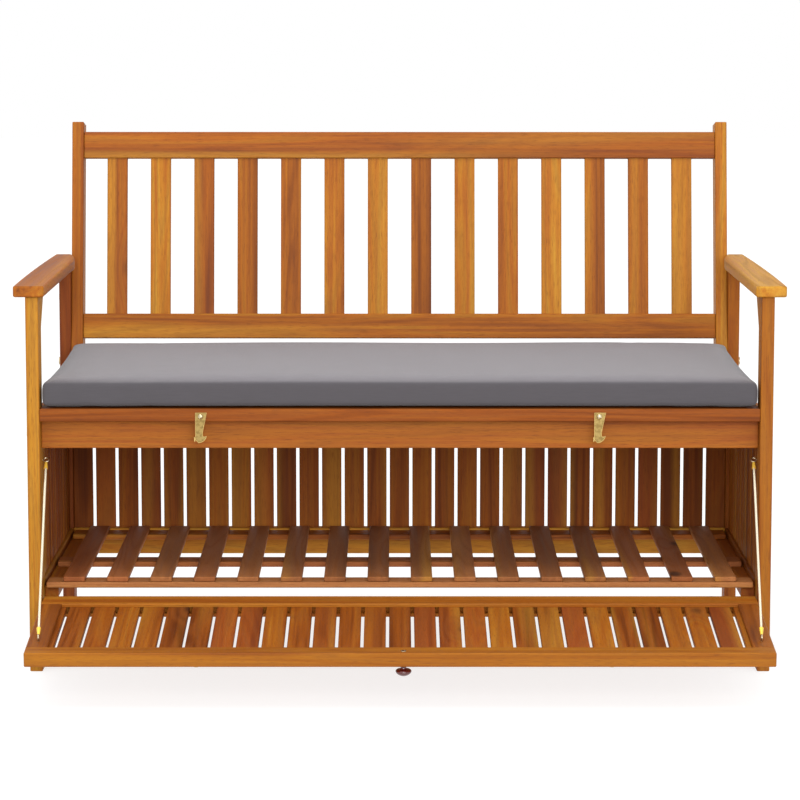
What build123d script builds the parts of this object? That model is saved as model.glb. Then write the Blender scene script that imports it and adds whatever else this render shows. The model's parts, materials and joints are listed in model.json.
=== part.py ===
"""Two-seat slatted garden bench with a storage box under the seat.

The bench stands on the floor at z = 0, faces -Y, and has its origin at the
bottom centre of its bounding box, with the front flap hanging open.
"""
from build123d import *
from math import cos, hypot, radians, sin, sqrt, tan
import os

os.makedirs("parts", exist_ok=True)

# ---- driving dimensions, mm ----
bench_width = 1200.0  # over the armrests
arm_side_overhang = 18.0  # past the outer faces of the legs
legs_span = 573.0  # front of the front legs to back of the rear legs
stile_top = 834.0  # floor to the top of the backrest
arm_top = 610.0
seat_top = 417.0
base_height = 93.0  # floor to the underside of the side and rear bottom rails

board = 20.0  # thickness of legs, rails and stiles
rail_width = 45.0
leg_depth = 45.0
ease = 2.0  # rounding on every planed edge
slat_thick = 10.0
panel_slat = 33.5  # width of the vertical slats round the box
panel_gap = 5.4
tenon = 6.0  # how far a slat end stands in its groove
groove_clearance = 0.3  # all round a slat end
bottom_gap = 2.0  # past a slat end, to the bottom of its groove

arm_thick = 17.5
arm_front_width = 48.0
arm_overhang = 8.0  # past the front legs
arm_back_short = 23.0  # its rear end to the rear legs' back
arm_bulge = 4.0  # how much further in the arm reaches near its back
arm_taper = 11.0  # how much its outer edge runs in towards the back
arm_round = 5.0
leg_flare = 43.0  # extra depth of the front legs at the top
flare_height = 53.0

recline = 10.0  # degrees, backrest from the vertical
stile_forward = 11.5  # the stiles' foot in front of the rear legs
back_rail_drop = 17.0  # stile top to top rail
lower_rail_rise = 72.0  # stile foot to lower rail, along the stile
lower_rail_width = 42.0
back_rail_setback = 3.0  # behind the stiles' front face
back_slat = 34.5
back_gap = 39.5
back_slat_thick = 12.0

seat_slat = 45.0
seat_gap = 12.5
seat_back_gap = 10.0  # last seat slat to the stiles' foot
bearer_hold = 2.0  # least of the front rail that rests on the bearers

cushion_thick = 43.0
cushion_side_gap = 3.0
cushion_front = 4.0  # behind the legs' front face
cushion_back_gap = 3.0
cushion_round = 14.0

flap_thick = 22.0
flap_bottom = 94.0  # closed flap above the floor
flap_top_gap = 3.0  # closed flap to the seat front rail
flap_side_gap = 1.0
flap_bottom_rail = 43.0
flap_top_rail = 31.0
flap_stile = 32.5
flap_slat_gap = 4.95
flap_slat_inset = 6.0  # slats below the frame's inner face
flap_open_angle = 95.5  # degrees from closed
flap_stop_gap = 1.0  # closed flap to the apron behind it

pin_radius = 3.0
pin_play = 0.08  # radial, in the flap
pin_in_leg = 12.0
pin_in_flap = 16.0
pin_setback = 11.0  # pivot from the flap's bottom edge and from its front

shelf_above_base = 52.0  # shelf's top above the underside of the bottom rails
shelf_slat = 34.0
shelf_pitch = 68.6
shelf_slat_thick = 8.0
shelf_rail_thick = 9.0
shelf_rail_width = 45.0
shelf_front = 30.0  # legs' front face to the shelf's front rail
shelf_slat_setback = 4.0
shelf_middle = 210.0
shelf_rear_gap = 15.0  # its rear rail to the rear legs' front
shelf_end_gap = 4.0
ledger_depth = 22.0
ledger_height = 18.0
front_rail_gap = 7.0  # closed flap to the bottom rail behind it
front_rail_bottom = 86.0
front_rail_depth = 16.0

eye_ring = 4.0  # centreline radius of a screw eye
eye_wire = 1.2  # radius of its wire
eye_reach = 5.5  # wood surface to the ring's centre
eye_shank = 10.0
ferrule_length = 12.0
ferrule_small = 2.0
ferrule_big = 3.4
cord_radius = 1.75
upper_eye_drop = 66.0  # seat's underside to the upper eye
upper_eye_setback = 39.5
lower_eye_from_top = 61.0  # flap's top edge to the lower eye

hook_spacing = 622.0
hook_thick = 1.6
hook_play = 0.6  # hook to the wood behind it
hook_side = 8.0  # screw to the hook's straight edge
hook_top = 6.0  # screw to the hook's upper edge
hook_shoulder = 10.0  # screw to the far end of that edge
hook_neck = 3.5  # screw to the neck's tapered edge
hook_length = 41.5  # screw to the hook's lowest point
hook_lip = 9.6  # screw to the tip of the lip
screw_drop = 11.5  # seat top to the hook's screw
hook_screw_radius = 2.1
hook_bore_play = 0.06
strike_radius = 1.8
strike_play = 0.5  # strike to the hook round it
strike_below_screw = 29.5
screw_head_radius = 4.0
screw_head_thick = 2.2

knob_radius = 12.0
knob_neck = 4.5
knob_length = 16.0
knob_from_top = 11.0
knob_offset = 5.0  # right of the flap's middle
screw_head_stand = 0.5  # knob screw's head above the wood it is sunk in

bolt_radius = 3.0
bolt_head_radius = 6.5
bolt_head_thick = 3.0
bolt_play = 0.15
bolt_into_rail = 40.0
screw_radius = 2.0
screw_length = 32.0

# ---- places worked out from them ----
half_legs = bench_width / 2 - arm_side_overhang
half_inside = half_legs - board
leg_top = arm_top - arm_thick
rear_setback = legs_span - leg_depth
back_foot = rear_setback - stile_forward  # legs' front face to the stiles' foot
arm_length = arm_overhang + legs_span - arm_back_short
shelf_top = base_height + shelf_above_base
shelf_rear = rear_setback - shelf_rear_gap - shelf_rail_width
front_rail_setback = flap_thick + front_rail_gap
seat_bottom = seat_top - board
rail_bottom = seat_bottom - rail_width
base_top = base_height + rail_width
tilt = radians(recline)
swing = radians(flap_open_angle)
stile_length = (stile_top - seat_bottom) / cos(tilt)
flap_height = seat_bottom - flap_top_gap - flap_bottom
half_flap = half_inside - flap_side_gap
half_flap_thick = flap_thick / 2
upper_eye_height = seat_bottom - upper_eye_drop
lower_eye_along = flap_height - pin_setback - lower_eye_from_top  # from the pivot


def rounded_reach(half_thick, along, angle):
    """How far a rounded corner reaches along Y when its board is turned by angle."""
    return (half_thick - ease) * abs(cos(angle)) + (along - ease) * sin(angle) + ease


flap_reach = rounded_reach(half_flap_thick, flap_height - pin_setback, swing) - half_flap_thick
back_reach = back_foot + rounded_reach(rail_width, stile_length, tilt)
front = -(back_reach - flap_reach) / 2  # y of the front legs' front face
inner_front = front + leg_depth
rear = front + rear_setback

# the backrest's own plane: x across, y up the stiles, z out of their front face
back_plane = Plane(
    origin=(0, front + back_foot, seat_bottom), x_dir=(1, 0, 0), z_dir=(0, -cos(tilt), sin(tilt))
)
# the flap's own plane: x across, y from hinge to top edge, z out of its outer face
pivot_y = front + half_flap_thick
pivot_z = flap_bottom + pin_setback
flap_plane = Plane(
    origin=(0, pivot_y, pivot_z), x_dir=(1, 0, 0), z_dir=(0, -cos(swing), -sin(swing))
)


upright = (Align.CENTER, Align.CENTER, Align.MIN)  # a cylinder from its foot


def planed(x, y, z):
    """A board between two limits along each axis, with its edges eased."""
    with BuildPart() as piece:
        with Locations(((x[0] + x[1]) / 2, (y[0] + y[1]) / 2, (z[0] + z[1]) / 2)):
            Box(x[1] - x[0], y[1] - y[0], z[1] - z[0])
        fillet(piece.edges(), ease)
    return piece.part


def spread(low, high, width, gap):
    """Centres of equal slats across a span, with an even gap at both ends too."""
    count = round((high - low - gap) / (width + gap))
    real_gap = (high - low - count * width) / (count + 1)
    return [low + real_gap + width / 2 + i * (width + real_gap) for i in range(count)]


def packed(low, high, width, gap):
    """Centres of equal slats that fill a span from its first edge to its last."""
    count = round((high - low + gap) / (width + gap))
    pitch = (high - low - width) / (count - 1)
    return [low + width / 2 + i * pitch for i in range(count)]


def drill(at, into, radius, depth):
    """Bore a round hole out of the piece being made."""
    with Locations(Plane(origin=at, z_dir=into)):
        Cylinder(radius, depth, align=upright, mode=Mode.SUBTRACT)


def groove(x, y, z):
    """Cut a box between two limits along each axis out of the piece being made."""
    with Locations(((x[0] + x[1]) / 2, (y[0] + y[1]) / 2, (z[0] + z[1]) / 2)):
        Box(x[1] - x[0], y[1] - y[0], z[1] - z[0], mode=Mode.SUBTRACT)


groove_depth = tenon + bottom_gap
groove_half = slat_thick / 2 + groove_clearance
pieces = {}

# ---- fastener places ----
bolt_hole = bolt_radius + bolt_play
# each row: y and z of a bolt through a leg into the end of a rail, both sides alike
rail_bolts = [
    (front + flap_thick + flap_stop_gap + board / 2, (rail_bottom + seat_bottom) / 2),
    (front + front_rail_setback + front_rail_depth / 2, front_rail_bottom + board / 2),
    (rear + board / 2, (rail_bottom + seat_bottom) / 2),
    (rear + board / 2, base_height + rail_width / 2),
]
stile_bolt_rises = (30.0, 140.0)  # stile foot to its two bolts, along the stile
stile_bolts = [
    (front + back_foot + rise * sin(tilt) + rail_width / 2, seat_bottom + rise * cos(tilt))
    for rise in stile_bolt_rises
]
dowel_radius = 4.0
dowel_length = 30.0
dowel_in_arm = 11.0
dowel_play = 0.1
dowel_places = [front + leg_depth / 2, front + leg_depth + leg_flare / 3, rear + 12.0]
upper_eye_y = front + upper_eye_setback
screw_z = seat_top - screw_drop


# ---- legs ----
def shape_leg(side, outline):
    """One leg from its outline in side view, bored for its bolts and arm dowels."""
    with BuildPart() as leg:
        with BuildSketch(Plane.YZ.offset(side * half_inside)):
            with BuildLine():
                Polyline(*outline, close=True)
            make_face()
        extrude(amount=side * board)
        fillet(leg.edges(), ease)
        low = min(point[0] for point in outline)
        high = max(point[0] for point in outline)
        for y, z in rail_bolts + stile_bolts:
            if low < y < high:
                drill((side * half_legs, y, z), (-side, 0, 0), bolt_hole, board)
        for y in dowel_places:
            if low + ease < y < high - ease:
                at = (side * (half_legs - board / 2), y, leg_top)
                depth = dowel_length - dowel_in_arm + bottom_gap
                drill(at, (0, 0, -1), dowel_radius + dowel_play, depth)
        if low == front:
            drill(
                (side * half_inside, pivot_y, pivot_z),
                (side, 0, 0),
                pin_radius + dowel_play,
                pin_in_leg + bottom_gap,
            )
            drill(
                (side * half_inside, upper_eye_y, upper_eye_height),
                (side, 0, 0),
                eye_wire + dowel_play,
                eye_shank + bottom_gap,
            )
    return leg


front_leg_outline = [
    (front, 0),
    (inner_front, 0),
    (inner_front, leg_top - flare_height),
    (inner_front + leg_flare, leg_top),
    (front, leg_top),
]
rear_leg_outline = [
    (rear, 0),
    (rear + leg_depth, 0),
    (rear + leg_depth, leg_top),
    (rear, leg_top),
]
for name, side in (("left", -1), ("right", 1)):
    pieces[f"front_leg_{name}"] = shape_leg(side, front_leg_outline)
    pieces[f"rear_leg_{name}"] = shape_leg(side, rear_leg_outline)


# ---- armrests ----
def shape_arm(side):
    """One armrest: straight in front, a little wider near the back, its rear end narrow."""
    outer = bench_width / 2
    inner = outer - arm_front_width
    back = front - arm_overhang + arm_length
    turn = front + arm_length * 0.72
    with BuildPart() as arm:
        with BuildSketch(Plane.XY.offset(leg_top)):
            with BuildLine():
                Line((side * inner, front - arm_overhang), (side * (inner - arm_bulge), turn))
                ThreePointArc(
                    (side * (inner - arm_bulge), turn),
                    (side * (inner - arm_bulge * 0.2), (turn * 0.4 + back * 0.6)),
                    (side * half_inside, back),
                )
                Line((side * half_inside, back), (side * (outer - arm_taper), back))
                ThreePointArc(
                    (side * (outer - arm_taper), back),
                    (side * (outer - arm_taper * 0.25), front + arm_length / 2),
                    (side * outer, front - arm_overhang),
                )
                Line((side * outer, front - arm_overhang), (side * inner, front - arm_overhang))
            make_face()
        extrude(amount=arm_thick)
        fillet(arm.edges().filter_by(Axis.Z), arm_round)
        fillet(arm.faces().filter_by(Axis.Z).edges(), ease + 1)
        for y in dowel_places:
            drill(
                (side * (half_legs - board / 2), y, leg_top),
                (0, 0, 1),
                dowel_radius + dowel_play,
                dowel_in_arm + bottom_gap,
            )
    return arm


pieces["armrest_left"] = shape_arm(-1)
pieces["armrest_right"] = shape_arm(1)
with BuildPart() as arm_dowels:
    for side in (-1, 1):
        for y in dowel_places:
            low = leg_top - dowel_length + dowel_in_arm
            with Locations((side * (half_legs - board / 2), y, low)):
                Cylinder(dowel_radius, dowel_length, align=upright)
pieces["arm_dowels"] = arm_dowels


# ---- side panels ----
def shape_side_rail(side, z, groove_z):
    """A rail between the legs of one side, grooved for the ends of the side slats."""
    blank = planed(sorted((side * half_inside, side * half_legs)), (inner_front, rear), z)
    centre = side * (half_inside + board / 2)
    with BuildPart() as rail:
        add(blank)
        groove((centre - groove_half, centre + groove_half), (inner_front, rear), groove_z)
    return rail


def shape_side_slats(side):
    """The row of upright slats that closes one side of the box."""
    centre = side * (half_inside + board / 2)
    blank = planed(
        (centre - slat_thick / 2, centre + slat_thick / 2),
        (-panel_slat / 2, panel_slat / 2),
        (base_top - tenon, rail_bottom + tenon),
    )
    with BuildPart() as slats:
        for y in spread(inner_front, rear, panel_slat, panel_gap):
            with Locations((0, y, 0)):
                add(blank)
    return slats


for name, side in (("left", -1), ("right", 1)):
    pieces[f"side_top_rail_{name}"] = shape_side_rail(
        side, (rail_bottom, seat_bottom), (rail_bottom, rail_bottom + groove_depth)
    )
    pieces[f"side_bottom_rail_{name}"] = shape_side_rail(
        side, (base_height, base_top), (base_top - groove_depth, base_top)
    )
    pieces[f"side_slats_{name}"] = shape_side_slats(side)

# ---- rear panel ----
rear_mid = rear + board / 2
rear_rail_limits = {
    "rear_top_rail": ((rail_bottom, seat_bottom), (rail_bottom, rail_bottom + groove_depth)),
    "rear_bottom_rail": ((base_height, base_top), (base_top - groove_depth, base_top)),
}
for name, (z, groove_z) in rear_rail_limits.items():
    blank = planed((-half_inside, half_inside), (rear, rear + board), z)
    with BuildPart() as rail:
        add(blank)
        groove((-half_inside, half_inside), (rear_mid - groove_half, rear_mid + groove_half), groove_z)
        for side in (-1, 1):
            at = (side * half_inside, rear_mid, (z[0] + z[1]) / 2)
            drill(at, (-side, 0, 0), bolt_hole, bolt_into_rail + bottom_gap)
    pieces[name] = rail

blank = planed(
    (-panel_slat / 2, panel_slat / 2),
    (rear_mid - slat_thick / 2, rear_mid + slat_thick / 2),
    (base_top - tenon, rail_bottom + tenon),
)
with BuildPart() as rear_slats:
    for x in packed(-half_inside, half_inside, panel_slat, panel_gap):
        with Locations((x, 0, 0)):
            add(blank)
pieces["rear_slats"] = rear_slats

# ---- front of the box ----
apron_front = front + flap_thick + flap_stop_gap
blank = planed((-half_inside, half_inside), (apron_front, apron_front + board), (rail_bottom, seat_bottom))
with BuildPart() as front_apron:
    add(blank)
    for side in (-1, 1):
        at = (side * half_inside, *rail_bolts[0])
        drill(at, (-side, 0, 0), bolt_hole, bolt_into_rail + bottom_gap)
pieces["front_apron"] = front_apron

low_rail_y = front + front_rail_setback
blank = planed(
    (-half_inside, half_inside),
    (low_rail_y, low_rail_y + front_rail_depth),
    (front_rail_bottom, front_rail_bottom + board),
)
with BuildPart() as front_bottom_rail:
    add(blank)
    for side in (-1, 1):
        at = (side * half_inside, *rail_bolts[1])
        drill(at, (-side, 0, 0), bolt_hole, bolt_into_rail + bottom_gap)
pieces["front_bottom_rail"] = front_bottom_rail

# ---- seat ----
bearers = {
    "seat_bearer_left": (-half_inside, -half_inside + board),
    "seat_bearer_middle": (-board / 2, board / 2),
    "seat_bearer_right": (half_inside - board, half_inside),
}
bearer_front = apron_front + board
seat_rail_back = front + max(rail_width, bearer_front + bearer_hold - front)
stile_foot = front + back_foot
last_slat_back = stile_foot - seat_back_gap
slat_room = last_slat_back - seat_rail_back
slat_count = round(slat_room / (seat_slat + seat_gap))
seat_pitch = slat_room / slat_count
slat_centres = [seat_rail_back + (i + 1) * seat_pitch - seat_slat / 2 for i in range(slat_count)]
screw_hole = screw_radius + dowel_play
seat_screw_places = [
    ((x[0] + x[1]) / 2, y)
    for x in bearers.values()
    for y in slat_centres
    if bearer_front + seat_slat / 2 < y
]
for name, x in bearers.items():
    blank = planed(x, (bearer_front, rear), (rail_bottom, seat_bottom))
    with BuildPart() as bearer:
        add(blank)
        for screw_x, y in seat_screw_places:
            if x[0] < screw_x < x[1]:
                drill((screw_x, y, seat_bottom), (0, 0, -1), screw_hole, screw_length - board + bottom_gap)
    pieces[name] = bearer

blank = planed((-half_inside, half_inside), (front, seat_rail_back), (seat_bottom, seat_top))
with BuildPart() as seat_front_rail:
    add(blank)
    for side in (-1, 1):
        at = (side * hook_spacing / 2, front, screw_z)
        drill(at, (0, 1, 0), hook_screw_radius + dowel_play, screw_length + bottom_gap)
pieces["seat_front_rail"] = seat_front_rail

slat_blank = planed(
    (-half_inside, half_inside), (-seat_slat / 2, seat_slat / 2), (seat_bottom, seat_top)
)
with BuildPart() as seat_slats:
    for y in slat_centres:
        with Locations((0, y, 0)):
            add(slat_blank)
    for x, y in seat_screw_places:
        with Locations((x, y, seat_top)):
            CounterSinkHole(screw_hole, screw_head_radius + dowel_play, board)
pieces["seat_slats"] = seat_slats

with BuildPart() as seat_screws:
    with BuildSketch(Plane.XZ):
        with BuildLine():
            Polyline(
                (0, seat_top),
                (screw_head_radius, seat_top),
                (screw_radius, seat_top - screw_head_radius + screw_radius),
                (screw_radius, seat_top - screw_length),
                (0, seat_top - screw_length),
                close=True,
            )
        make_face()
    revolve(axis=Axis.Z)
screw = seat_screws.part
with BuildPart() as seat_screws:
    for x, y in seat_screw_places:
        with Locations((x, y, 0)):
            add(screw)
pieces["seat_screws"] = seat_screws

# ---- cushion ----
cushion_back = stile_foot + board * tan(tilt) - cushion_back_gap
half_cushion = half_inside - cushion_side_gap
with BuildPart() as cushion:
    with BuildSketch(Plane.XY.offset(seat_top)):
        with Locations((0, (front + cushion_front + cushion_back) / 2)):
            RectangleRounded(2 * half_cushion, cushion_back - front - cushion_front, cushion_round)
    extrude(amount=cushion_thick)
    fillet(cushion.faces().filter_by(Axis.Z).edges(), cushion_round / 2)
pieces["cushion"] = cushion


# ---- backrest ----
def shape_stile(side):
    """One backrest stile: leaning, its foot cut level, its top cut square."""
    foot = (stile_foot, seat_bottom)
    rise = (stile_length * sin(tilt), stile_length * cos(tilt))
    across = (rail_width * cos(tilt), -rail_width * sin(tilt))
    with BuildPart() as stile:
        with BuildSketch(Plane.YZ.offset(side * half_inside)):
            with BuildLine():
                Polyline(
                    foot,
                    (foot[0] + rise[0], foot[1] + rise[1]),
                    (foot[0] + rise[0] + across[0], foot[1] + rise[1] + across[1]),
                    (foot[0] + rail_width / cos(tilt), foot[1]),
                    close=True,
                )
            make_face()
        extrude(amount=-side * board)
        fillet(stile.edges(), ease)
        for y, z in stile_bolts:
            drill((side * half_inside, y, z), (-side, 0, 0), bolt_hole, board - bottom_gap)
    return stile


pieces["back_stile_left"] = shape_stile(-1)
pieces["back_stile_right"] = shape_stile(1)
half_back = half_inside - board
back_slat_centres = spread(-half_back, half_back, back_slat, back_gap)
top_rail_low = stile_length - back_rail_drop - rail_width
lower_rail_high = lower_rail_rise + lower_rail_width
top_mortise = (top_rail_low, top_rail_low + groove_depth)
lower_mortise = (lower_rail_high - groove_depth, lower_rail_high)
rail_z = (-back_rail_setback - board, -back_rail_setback)
slat_z = (sum(rail_z) - back_slat_thick) / 2, (sum(rail_z) + back_slat_thick) / 2
back_rails = {
    "back_top_rail": ((top_rail_low, top_rail_low + rail_width), top_mortise),
    "back_lower_rail": ((lower_rail_rise, lower_rail_high), lower_mortise),
}
for name, (y, mortise_y) in back_rails.items():
    blank = planed((-half_back, half_back), y, rail_z)
    with BuildPart(back_plane) as rail:
        add(blank)
        for x in back_slat_centres:
            half = back_slat / 2 + groove_clearance
            groove(
                (x - half, x + half),
                mortise_y,
                (slat_z[0] - groove_clearance, slat_z[1] + groove_clearance),
            )
    pieces[name] = rail

blank = planed((-back_slat / 2, back_slat / 2), (lower_rail_high - tenon, top_rail_low + tenon), slat_z)
with BuildPart(back_plane) as back_slats:
    for x in back_slat_centres:
        with Locations((x, 0, 0)):
            add(blank)
pieces["back_slats"] = back_slats

# ---- shelf inside the box ----
shelf_rail_high = shelf_top - shelf_slat_thick
shelf_rail_low = shelf_rail_high - shelf_rail_thick
half_shelf = half_inside - shelf_end_gap
shelf_rails = {"front": shelf_front, "middle": shelf_middle, "rear": shelf_rear}
for name, y in shelf_rails.items():
    blank = planed(
        (-half_shelf, half_shelf),
        (front + y, front + y + shelf_rail_width),
        (shelf_rail_low, shelf_rail_high),
    )
    with BuildPart() as rail:
        add(blank)
    pieces[f"shelf_{name}_rail"] = rail

blank = planed(
    (-shelf_slat / 2, shelf_slat / 2),
    (front + shelf_front + shelf_slat_setback, front + shelf_rear + shelf_rail_width - shelf_slat_setback),
    (shelf_rail_high, shelf_top),
)
shelf_count = int((2 * half_shelf - shelf_slat) / shelf_pitch) + 1
with BuildPart() as shelf_slats:
    for i in range(shelf_count):
        with Locations(((i - (shelf_count - 1) / 2) * shelf_pitch, 0, 0)):
            add(blank)
pieces["shelf_slats"] = shelf_slats

for name, side in (("left", -1), ("right", 1)):
    blank = planed(
        sorted((side * half_inside, side * (half_inside - ledger_depth))),
        (inner_front, rear),
        (shelf_rail_low - ledger_height, shelf_rail_low),
    )
    with BuildPart() as ledger:
        add(blank)
    pieces[f"shelf_ledger_{name}"] = ledger

# ---- flap, in its own plane ----
flap_low = -pin_setback
flap_high = flap_height - pin_setback
flap_z = (-half_flap_thick, half_flap_thick)
stile_y = (flap_low + flap_bottom_rail, flap_high - flap_top_rail)
half_opening = half_flap - flap_stile
slat_low_z = -half_flap_thick + flap_slat_inset
flap_slat_z = (slat_low_z, slat_low_z + slat_thick)
flap_groove_z = (slat_low_z - groove_clearance, slat_low_z + slat_thick + groove_clearance)
half_groove = half_opening + groove_depth
strike_y = screw_z - strike_below_screw - pivot_z
knob_y = flap_high - knob_from_top
head_sunk = screw_head_thick - screw_head_stand
head_clearance = 0.1
lower_eye_x = half_flap - flap_stile / 2

blank = planed((-half_flap, half_flap), (flap_low, stile_y[0]), flap_z)
with BuildPart(flap_plane) as flap_bottom_rail_piece:
    add(blank)
    groove((-half_groove, half_groove), (stile_y[0] - groove_depth, stile_y[0]), flap_groove_z)
    for side in (-1, 1):
        drill((side * half_flap, 0, 0), (-side, 0, 0), pin_radius + pin_play, pin_in_flap + bottom_gap)
pieces["flap_bottom_rail"] = flap_bottom_rail_piece

blank = planed((-half_flap, half_flap), (stile_y[1], flap_high), flap_z)
with BuildPart(flap_plane) as flap_top_rail_piece:
    add(blank)
    groove((-half_groove, half_groove), (stile_y[1], stile_y[1] + groove_depth), flap_groove_z)
    at = (knob_offset, knob_y, -half_flap_thick)
    drill(at, (0, 0, 1), screw_radius + dowel_play, flap_thick)
    drill(at, (0, 0, 1), screw_head_radius + dowel_play, head_sunk + head_clearance)
    for side in (-1, 1):
        at = (side * hook_spacing / 2 + hook_neck + strike_play + strike_radius, strike_y, half_flap_thick)
        drill(at, (0, 0, -1), strike_radius + dowel_play, flap_thick - bottom_gap)
pieces["flap_top_rail"] = flap_top_rail_piece

for name, side in (("left", -1), ("right", 1)):
    blank = planed(sorted((side * half_opening, side * half_flap)), stile_y, flap_z)
    with BuildPart(flap_plane) as stile:
        add(blank)
        groove(sorted((side * half_opening, side * half_groove)), stile_y, flap_groove_z)
        drill(
            (side * lower_eye_x, lower_eye_along, -half_flap_thick),
            (0, 0, 1),
            eye_wire + dowel_play,
            eye_shank + bottom_gap,
        )
    pieces[f"flap_stile_{name}"] = stile

flap_slat_pitch = panel_slat + flap_slat_gap
slat_limit = half_opening + tenon
slats_each_side = int(slat_limit / flap_slat_pitch + 0.5)
least_strip = 2 * tenon  # narrower strips than this at the ends are left out
flap_slat_blanks = []
for i in range(-slats_each_side, slats_each_side + 1):
    low = max(i * flap_slat_pitch - panel_slat / 2, -slat_limit)
    high = min(i * flap_slat_pitch + panel_slat / 2, slat_limit)
    if high - low >= least_strip:
        flap_slat_blanks.append(
            planed((low, high), (stile_y[0] - tenon, stile_y[1] + tenon), flap_slat_z)
        )
with BuildPart(flap_plane) as flap_slats:
    add(flap_slat_blanks)
pieces["flap_slats"] = flap_slats

# ---- hinge pins ----
with BuildPart() as hinge_pins:
    for side in (-1, 1):
        at = (side * (half_inside + pin_in_leg), pivot_y, pivot_z)
        with Locations(Plane(origin=at, z_dir=(-side, 0, 0))):
            Cylinder(
                pin_radius,
                pin_in_leg + flap_side_gap + pin_in_flap,
                align=upright,
            )
pieces["hinge_pins"] = hinge_pins

# ---- knob ----
knob_centre = flap_plane.from_local_coords((knob_offset, knob_y, 0))
base = half_flap_thick
with BuildPart(flap_plane) as knob:
    with BuildSketch(Plane(origin=knob_centre, x_dir=(1, 0, 0), z_dir=-flap_plane.y_dir)):
        with BuildLine():
            Line((0, base), (knob_neck + 1, base))
            ThreePointArc(
                (knob_neck + 1, base),
                (knob_neck, base + knob_length * 0.2),
                (knob_neck + 1.5, base + knob_length * 0.36),
            )
            Spline(
                (knob_neck + 1.5, base + knob_length * 0.36),
                (knob_radius, base + knob_length * 0.62),
                (knob_radius * 0.62, base + knob_length * 0.93),
                (0, base + knob_length),
            )
            Line((0, base + knob_length), (0, base))
        make_face()
    revolve(axis=Axis(knob_centre, flap_plane.z_dir))
    depth = knob_length * 0.6 + bottom_gap
    drill((knob_offset, knob_y, base), (0, 0, 1), screw_radius + dowel_play, depth)
pieces["knob"] = knob

with BuildPart(flap_plane) as knob_screw:
    with Locations((knob_offset, knob_y, -half_flap_thick - screw_head_stand)):
        Cylinder(screw_head_radius, screw_head_thick, align=upright)
    head_face = knob_screw.faces().sort_by(Axis(flap_plane.origin, flap_plane.z_dir))[0]
    fillet(head_face.edges(), screw_head_stand * 0.8)
    with Locations((knob_offset, knob_y, -half_flap_thick)):
        Cylinder(screw_radius, flap_thick + knob_length * 0.6, align=upright)
pieces["knob_screw"] = knob_screw

# ---- hooks and their strikes ----
hook_back = front - hook_play
strike_x = hook_neck + strike_play + strike_radius  # strike beside the hook's screw
notch_radius = strike_radius + strike_play
notch_z = -strike_below_screw
# the notch lets the strike out sideways, along its circle about the screw
strike_reach = hypot(strike_x, notch_z)
notch_foot = 1 + notch_radius / strike_reach
lip_z = -sqrt((strike_reach * notch_foot) ** 2 - hook_lip**2)
hook_foot = (-hook_side * 0.4, -hook_length)


def shape_hook(centre_x):
    """A tapered plate on its screw, with an open notch and lip at its lower end."""
    with BuildPart() as hook:
        face = Plane(origin=(centre_x, hook_back, screw_z), x_dir=(1, 0, 0), z_dir=(0, -1, 0))
        with BuildSketch(face):
            with BuildLine():
                Polyline(
                    hook_foot,
                    (-hook_side, -hook_length + hook_side * 0.6),
                    (-hook_side, hook_top),
                    (hook_shoulder, hook_top),
                    (hook_neck, notch_z + notch_radius * 2),
                    (hook_neck, notch_z),
                )
                ThreePointArc(
                    (hook_neck, notch_z),
                    (strike_x - notch_radius * 0.7, notch_z - notch_radius * 0.714),
                    (strike_x * notch_foot, notch_z * notch_foot),
                )
                Line((strike_x * notch_foot, notch_z * notch_foot), (hook_lip, lip_z))
                ThreePointArc(
                    (hook_lip, lip_z),
                    (hook_lip * 0.5, lip_z * 0.25 - hook_length * 0.75),
                    hook_foot,
                )
            make_face()
            Circle(hook_screw_radius + hook_bore_play, mode=Mode.SUBTRACT)
        extrude(amount=hook_thick)
        # thumb tab, bent forwards from the straight edge
        tab_x = centre_x - hook_side - hook_thick / 2
        with Locations((tab_x, hook_back - hook_thick * 2, screw_z - hook_length * 0.85)):
            Box(hook_thick, hook_thick * 4, hook_side * 0.8)
    return hook


hook_screw_x = {"hook_left": -hook_spacing / 2, "hook_right": hook_spacing / 2}
for name, x in hook_screw_x.items():
    pieces[name] = shape_hook(x)

head_gap = 0.3  # hook plate to the screw head over it


def shape_screws(places, stand, depth, radius):
    """Round-headed screws: each head stands clear of the wood, its shank in the wood."""
    with BuildPart() as screws:
        for x in places:
            with Locations((x, 0, stand)):
                Cylinder(screw_head_radius, screw_head_thick, align=upright)
            with Locations((x, 0, -depth)):
                Cylinder(radius, depth + stand, align=upright)
    return screws.part


stand = hook_play + hook_thick + head_gap
blank = shape_screws(hook_screw_x.values(), stand, screw_length, hook_screw_radius)
with BuildPart(Plane(origin=(0, front, screw_z), x_dir=(1, 0, 0), z_dir=(0, -1, 0))) as hook_screws:
    add(blank)
pieces["hook_screws"] = hook_screws

blank = shape_screws(
    [x + strike_x for x in hook_screw_x.values()], stand, flap_thick - 2 * bottom_gap, strike_radius
)
with BuildPart(flap_plane) as strikes:
    with Locations((0, strike_y, half_flap_thick)):
        add(blank)
pieces["strikes"] = strikes

# ---- stay cords with their screw eyes and ferrules ----
upper_eyes = {
    side: Vector(side * (half_inside - eye_reach), upper_eye_y, upper_eye_height) for side in (-1, 1)
}
lower_eyes = {
    side: flap_plane.from_local_coords(
        Vector(side * lower_eye_x, lower_eye_along, -half_flap_thick - eye_reach)
    )
    for side in (-1, 1)
}
ferrule_start = eye_ring + eye_wire + 0.2
cord_start = ferrule_start + ferrule_length


def shape_eye(centre, into, along):
    """A screw eye: its ring holds the cord's pull, its shank goes into the wood."""
    with BuildPart() as eye:
        with Locations(Plane(origin=centre, z_dir=into.cross(along))):
            Torus(eye_ring, eye_wire)
        with Locations(Plane(origin=centre + into * eye_ring, z_dir=into)):
            Cylinder(
                eye_wire,
                eye_reach - eye_ring + eye_shank,
                align=upright,
            )
    return eye.part


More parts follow.
